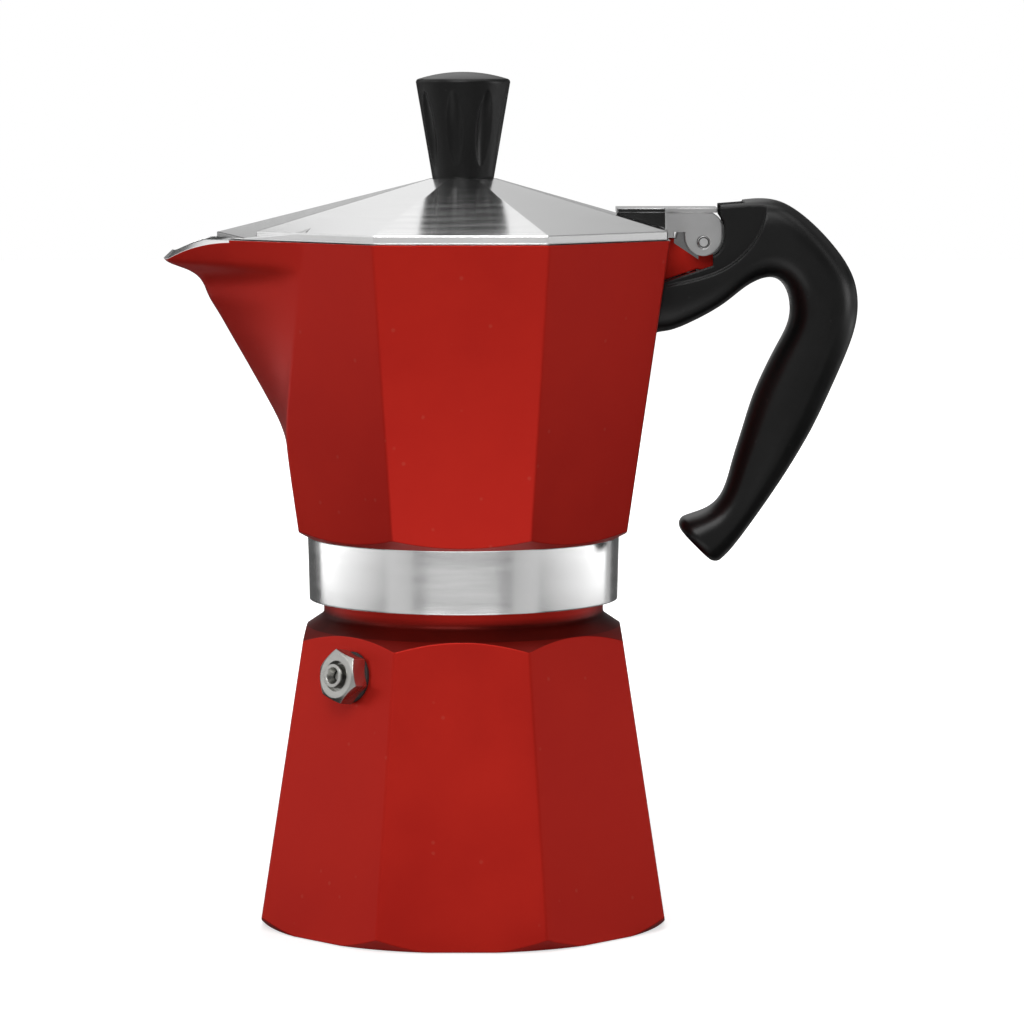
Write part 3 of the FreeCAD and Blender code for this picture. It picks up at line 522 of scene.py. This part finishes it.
print("material helpers ready")

# %% [markdown]
# ### Red enamel over cast aluminium
# The two octagonal castings are sprayed outside and left bare in places. On the real pot that is masking
# tape. Here it is a mask made from the place and the direction of each point, so one casting can carry
# both finishes with a crisp border. Every face that looks at the pot's axis is bare; the other rules
# come from the two cells that follow, because each casting is masked in its own way.

# %% Red enamel
inward_limit = -0.0003


def enamel(name, bare_rule, knuckle_shade_rule=None, neck_shade_rule=None):
    made, tree, shader = new_material(name)
    coord = put(tree, "TexCoord").outputs
    place, facing = axes(tree, coord["Object"]), axes(tree, coord["Normal"])
    outward = calc(tree, "ADD", calc(tree, "MULTIPLY", place["X"], facing["X"]),
                   calc(tree, "MULTIPLY", place["Y"], facing["Y"]))
    inner = below(tree, outward, inward_limit)
    dull = knuckle_shade_rule(tree, place) if knuckle_shade_rule else 0.0
    stain_and_shade = neck_shade_rule(tree, place, facing) if neck_shade_rule else 0.0
    bare = either(tree, inner, bare_rule(tree, place, facing), dull)
    skin = use(tree, grain, Scale=900.0)
    dust = use(tree, specks, Scale=420.0, Share=0.05)
    edge = use(tree, edges, Width=0.0005)
    lathe = use(tree, turned, Spacing=0.00022)
    red = tint(tree, skin["Tone"], (0.4, 0.0145, 0.0095, 1), (0.44, 0.0175, 0.0105, 1))
    red = touch(tree, edge["Mask"], 0.1, red, (0.5, 0.04, 0.025, 1))
    # painted shade: the boiler's neck groove and shoulder go almost black here, for the shadow under the
    # band
    red = touch(tree, stain_and_shade, between(tree, skin["Tone"], 0.75, 0.95), red, (0.02, 0.003, 0.002, 1))
    red = touch(tree, dust["Mask"], 0.1, red, (0.5, 0.2, 0.16, 1))
    metal = tint(tree, lathe["Streak"], grey(0.78), grey(0.82))
    # painted shade: the bare knuckle turns dark grey here, for the shadow round the hinge
    metal = tint(tree, dull, metal, tint(tree, skin["Tone"], grey(0.1), grey(0.22)))
    fill(tree, shader["Base Color"], tint(tree, bare, red, metal))
    fill(tree, shader["Metallic"], between(tree, bare, 0.45, 1.0))
    paint_rough = between(tree, skin["Tone"], 0.34, 0.4)
    metal_rough = between(tree, lathe["Streak"], 0.16, 0.22)
    fill(tree, shader["Roughness"], between(tree, bare, paint_rough, metal_rough))
    shader["Specular IOR Level"].default_value = 0.06
    turned_height = calc(tree, "MULTIPLY", lathe["Height"], 0.3)
    height = between(tree, bare, skin["Height"], turned_height)
    roughen(tree, shader, height, 0.000006, edge["Normal"])
    return made


print("enamel recipe ready")

# %% [markdown]
# ### The boiler's paint
# The boiler is bare on its underside, on the floor inside and on the threaded end of its neck. Where the
# neck rises from the shoulder, the shadow under the band is painted into the colour as a dark line. This
# painted shade follows the height, so it deepens up the shoulder and ends a little way up the neck.

# %% Boiler
neck_bare_from, inner_floor_top, level = 0.0845, 0.01, 0.9
shoulder_from, faint_until, deep_from = 0.06, 0.07, 0.0785
groove_from, groove_until, groove_end = 0.0757, 0.079, 0.0808
slope_from, slope_full, faint, deep = 0.25, 0.5, 0.55, 0.9


def boiler_bare(tree, place, facing):
    thread = above(tree, place["Z"], neck_bare_from)
    underside = below(tree, facing["Z"], -level)
    inner_floor = both(tree, above(tree, facing["Z"], level), below(tree, place["Z"], inner_floor_top))
    return either(tree, thread, underside, inner_floor)


# Painted shade: the dark groove at the neck's root and on the shoulder stands for the shadow under the
# band.
def neck_painted_shade(tree, place, facing):
    upward = both(tree, spread(tree, facing["Z"], slope_from, slope_full),
                  above(tree, place["Z"], shoulder_from))
    shoulder =both(tree, upward, spread(tree, place["Z"], faint_until, deep_from, faint, deep))
    groove = both(tree, above(tree, place["Z"], groove_from),
                  spread(tree, place["Z"], groove_end, groove_until))
    return either(tree, shoulder, groove)


dress(enamel("boiler_enamel", boiler_bare, neck_shade_rule=neck_painted_shade), "boiler")

# %% [markdown]
# ### The collector's paint
# The collector is bare on the turned band and on the lip under the lid. The upper part of its hinge
# knuckle is bare as well, as dull cast skin, and its grey is made dark as a painted shade for the shadow
# round the hinge. On the knuckle's right side this painted shade also covers what is red paint on the
# pot. The border there is a line that falls towards the handle, and it is measured from the hinge pin,
# because the knuckle is round about the pin.

# %% Collector
band_top, lip_end, lip_slope = 0.0985, 0.0521, 0.25
pin_low, pin_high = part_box("hinge_pin")
pin_x = (pin_low[0] + pin_high[0]) / 2
pin_z = (pin_low[2] + pin_high[2]) / 2
knuckle_reach, border_slope, border_drop = 0.0074, 0.665, -0.00525
tongue_left, tongue_right, tongue_top = -0.0012, 0.0025, -0.002


def collector_bare(tree, place, facing):
    lip = both(tree, above(tree, facing["Z"], lip_slope), below(tree, place["X"], lip_end))
    return either(tree, below(tree, place["Z"], band_top), lip)


def knuckle_bare_shaded(tree, place):
    """Upper part of the knuckle, darkened as painted shade, without a short tongue of paint right below
    the pin.
    """
    across = calc(tree, "SUBTRACT", place["X"], pin_x)
    up = calc(tree, "SUBTRACT", place["Z"], pin_z)
    near = below(tree, diagonal(tree, across, up), knuckle_reach)
    off_tongue = either(tree, below(tree, across, tongue_left), above(tree, across, tongue_right),
                        above(tree, up, tongue_top))
    border = calc(tree, "ADD", up, calc(tree, "MULTIPLY", across, border_slope))
    return both(tree, near, off_tongue, above(tree, border, border_drop))


dress(enamel("collector_enamel", collector_bare, knuckle_bare_shaded), "collector")

# %% [markdown]
# ### The lid's zones
# The lid is a thin casting, brushed on top. The hinge ears and the underside keep the mottled skin of
# the mould. The sides of the hinge plate get a painted shade, near black, for the shadow in the recess
# under the plate. Separate meshes would show a seam, so masks mark these zones on the one casting.

# %% Lid zones
ears_from, plate_from, plate_half = 0.05115, 0.03, 0.009
facing_down, facing_up, facing_side = -0.2, 0.8, 0.7
lid_metal, tree, shader = new_material("lid_brushed")
coord = put(tree, "TexCoord").outputs
place, facing = axes(tree, coord["Object"]), axes(tree, coord["Normal"])
ears_or_under = either(tree, above(tree, place["X"], ears_from), below(tree, facing["Z"], facing_down))
cast = both(tree, ears_or_under, below(tree, facing["Z"], facing_up))
central = below(tree, calc(tree, "ABSOLUTE", place["Y"]), plate_half)
upright = above(tree, calc(tree, "ABSOLUTE", facing["Y"]), facing_side)
plate_side_shade = both(tree, central, upright, above(tree, place["X"], plate_from),
                  below(tree, place["X"], ears_from))
print("lid zones: brushed top, cast ears from", ears_from, "m, dark plate sides")

# %% [markdown]
# ### The lid's metal
# Brushing smears a reflection across its lines, so the black knob shows in the front facet as a soft
# upright streak. Anisotropy does that: the tangent runs round the pot and the highlight is turned a
# quarter to stretch down the slope.

# %% Lid
strokes = use(tree, brushed, Spacing=0.00025)
mould = use(tree, grain, Scale=1100.0)
pits = use(tree, specks, Scale=900.0, Share=0.25)
edge = use(tree, edges, Width=0.0006)
bright = tint(tree, strokes["Streak"], grey(0.78), grey(0.84))
dull = tint(tree, mould["Tone"], grey(0.18), grey(0.3))
dull = touch(tree, pits["Mask"], 0.35, dull, grey(0.25))
# painted shade: near black for the sides of the hinge plate, where the recess under it lies in shadow
dark = tint(tree, mould["Tone"], grey(0.02), grey(0.05))
colour = tint(tree, plate_side_shade, tint(tree, cast, bright, dull), dark)
fill(tree, shader["Base Color"], touch(tree, edge["Mask"], 0.4, colour, grey(0.88)))
shader["Metallic"].default_value = 1.0
shiny = between(tree, strokes["Streak"], 0.14, 0.19)
matt = between(tree, mould["Tone"], 0.42, 0.55)
fill(tree, shader["Roughness"], between(tree, cast, shiny, matt))
shader["Anisotropic"].default_value = 0.75
shader["Anisotropic Rotation"].default_value = 0.25
fill(tree, shader["Tangent"], put(tree, "Tangent", direction_type="RADIAL", axis="Z").outputs[0])
height = between(tree, cast, strokes["Height"], mould["Height"])
roughen(tree, shader, height, 0.000003, edge["Normal"])
dress(lid_metal, "lid")

# %% [markdown]
# ### Black moulded resin
# Knob and handle are moulded in black resin. It is satin: a fine grain blurs the reflections, and
# fingers have polished the edges a little brighter.

# %% Resin
resin, tree, shader = new_material("black_resin")
skin = use(tree, grain, Scale=1300.0)
dust = use(tree, specks, Scale=700.0, Share=0.04)
edge = use(tree, edges, Width=0.0008)
black = tint(tree, skin["Tone"], grey(0.003), grey(0.005))
black = touch(tree, edge["Mask"], 0.5, black, grey(0.015))
fill(tree, shader["Base Color"], touch(tree, dust["Mask"], 0.1, black, grey(0.06)))
fill(tree, shader["Roughness"], between(tree, skin["Tone"], 0.28, 0.36))
shader["Specular IOR Level"].default_value = 0.21
roughen(tree, shader, skin["Height"], 0.000015, edge["Normal"])
dress(resin, "knob", "handle")

# %% [markdown]
# ### Two small lamps for the resin
# Black shows only what it mirrors. In a studio small lamps with flags light just the handle and the
# knob, so their edges stand out while the paint beside them stays deep. Light linking does the work of
# the flags: these two lamps reach only the pieces in one collection.

# %% Resin lamps
resin_pieces = bpy.data.collections.new("resin_pieces")
for name in ("knob", "handle"):
    resin_pieces.objects.link(nodes[name])
grip_middle = (0.08, 0, 0.15)
for name, place, size, power in (
    ("resin_right", (1.2, -0.1, 0.2), 0.5, 2.6),
    ("resin_front", (0.5, -0.75, 1.25), 0.5, 3.0),
):
    lamp = softbox(name, place, grip_middle, size, power)
    lamp.light_linking.receiver_collection = resin_pieces

# %% [markdown]
# ### Small metal pieces
# Funnel, sieve and column are spun or drawn from sheet, so turned lines suit them. The screws, pin and
# spring are steel. The valve is plated brass with warm grey stains. One recipe makes all three: two
# tones, a range of roughness, a stain and the spacing of the lines.

# %% Metals
def metal(name, low, high, rough, stain_and_shade, stain_share, spacing):
    made, tree, shader = new_material(name)
    lathe = use(tree, turned, Spacing=spacing)
    skin = use(tree, grain, Scale=700.0)
    marks = use(tree, specks, Scale=650.0, Share=0.12)
    edge = use(tree, edges, Width=0.0003)
    colour = tint(tree, lathe["Streak"], low, high)
    colour = touch(tree, skin["Tone"], stain_share, colour, stain_and_shade)
    colour = touch(tree, marks["Mask"], 0.3, colour, stain_and_shade)
    fill(tree, shader["Base Color"], touch(tree, edge["Mask"], 0.5, colour, high))
    shader["Metallic"].default_value = 1.0
    fill(tree, shader["Roughness"], between(tree, lathe["Streak"], *rough))
    roughen(tree, shader, lathe["Height"], 0.000008, edge["Normal"])
    return made


spun = metal("spun_aluminium", grey(0.68), grey(0.78), (0.26, 0.36), grey(0.5), 0.25, 0.0003)
steel = metal("drawn_steel", grey(0.5), grey(0.62), (0.24, 0.34), grey(0.3), 0.3, 0.0002)
plated = metal("plated_brass", (0.4, 0.4, 0.385, 1), (0.56, 0.56, 0.54, 1), (0.25, 0.36),
               (0.2, 0.19, 0.165, 1), 0.35, 0.0002)
dress(spun, "funnel_cup", "funnel_sieve", "funnel_stem", "filter_plate", "riser_column")
dress(steel, "valve_spring", "knob_screw", "knob_washer", "handle_screw", "hinge_pin")
dress(plated, "valve_body", "valve_retainer", "valve_poppet")

# %% [markdown]
# ### Rubber and fibre
# The gasket is a ring of pale rubber. The valve's washer is fibre, and its near-black is a painted shade
# for the shadow behind the valve nut. Both are matt, a little uneven, dusty, and paler where their edges
# are worn, so one recipe serves for both.

# %% Rubber and fibre
def rubber(name, low, high, stain_and_shade, worn):
    made, tree, shader = new_material(name)
    skin = use(tree, grain, Scale=900.0)
    dust = use(tree, specks, Scale=600.0, Share=0.15)
    edge = use(tree, edges, Width=0.0004)
    colour = tint(tree, skin["Tone"], low, high)
    colour = touch(tree, dust["Mask"], 0.4, colour, stain_and_shade)
    fill(tree, shader["Base Color"], touch(tree, edge["Mask"], 0.4, colour, worn))
    fill(tree, shader["Roughness"], between(tree, skin["Tone"], 0.6, 0.75))
    roughen(tree, shader, skin["Height"], 0.00003, edge["Normal"])
    return made


pale_rubber = rubber("pale_rubber", (0.62, 0.58, 0.5, 1), (0.74, 0.71, 0.63, 1), (0.3, 0.24, 0.17, 1),
                     (0.8, 0.77, 0.7, 1))
# painted shade: the washer's near-black stands for the shadow behind the valve nut
dark_fibre_and_shade = rubber("dark_fibre_and_shade", grey(0.012), grey(0.02), grey(0.05), grey(0.04))
dress(pale_rubber, "gasket")
dress(dark_fibre_and_shade, "valve_washer")

# %% [markdown]
# ### Rings round the hinge pin
# The pin's ends are pressed flush into the ears, and a thin dark ring of oil and burr shows round each
# one. A flat painted circle would vanish from the side, so each ring is a low turned bead: a small
# profile spun round the pin's axis. Both ride on the collector, as the pin does.

# %% Pin rings
bead = [(0.00108, 0.0), (0.00114, 0.00006), (0.00132, 0.00006), (0.00138, 0.0)]
spin = 48


def pin_ring(name, face, outward):
    """Spin the bead's profile of reach and height round the pin, on a face at that Y."""
    points = []
    for step in range(spin):
        angle = 2 * math.pi * step / spin
        for reach, proud in bead:
            points.append((pin_x + reach * math.cos(angle), face + outward * proud,
                           pin_z + reach * math.sin(angle)))
    count = len(bead)
    faces = []
    for step in range(spin):
        here, after = step * count, (step + 1) % spin * count
        for k in range(count - 1):
            quad = (here + k, here + k + 1, after + k + 1, after + k)
            faces.append(quad if outward > 0 else quad[::-1])
    made = new_mesh(name, points, faces)
    made.data.materials.append(dark_fibre_and_shade)
    made.data.shade_smooth()
    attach(made, "collector")


pin_ring("pin_ring_front", pin_low[1], -1)
pin_ring("pin_ring_back", pin_high[1], 1)
print("two rings at", round(pin_x, 4), round(pin_z, 4))

# %% [markdown]
# ### A copy of the valve spring
# When steam lifts the valve's poppet, the spring is pressed against the nozzle ring and gets shorter. A
# rigid coil would be cut by the poppet there. Here a copy of the coil stands for the CAD one and rides
# on the boiler, and the place of each of its points along the valve's axis is worked out.

# %% Valve spring
lift = next(joint for joint in frame["record"]["behaviour"]["joints"] if joint["name"] == "valve_lift")
lift_axis = lift["axis"]
rigid_coil = nodes["valve_spring"]
along = [sum(a * c for a, c in zip(lift_axis, vertex.co)) for vertex in rigid_coil.data.vertices]
coil = bpy.data.objects.new("spring_coil", rigid_coil.data.copy())
scene.collection.objects.link(coil)
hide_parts("valve_spring")
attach(coil, "boiler")
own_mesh(coil)
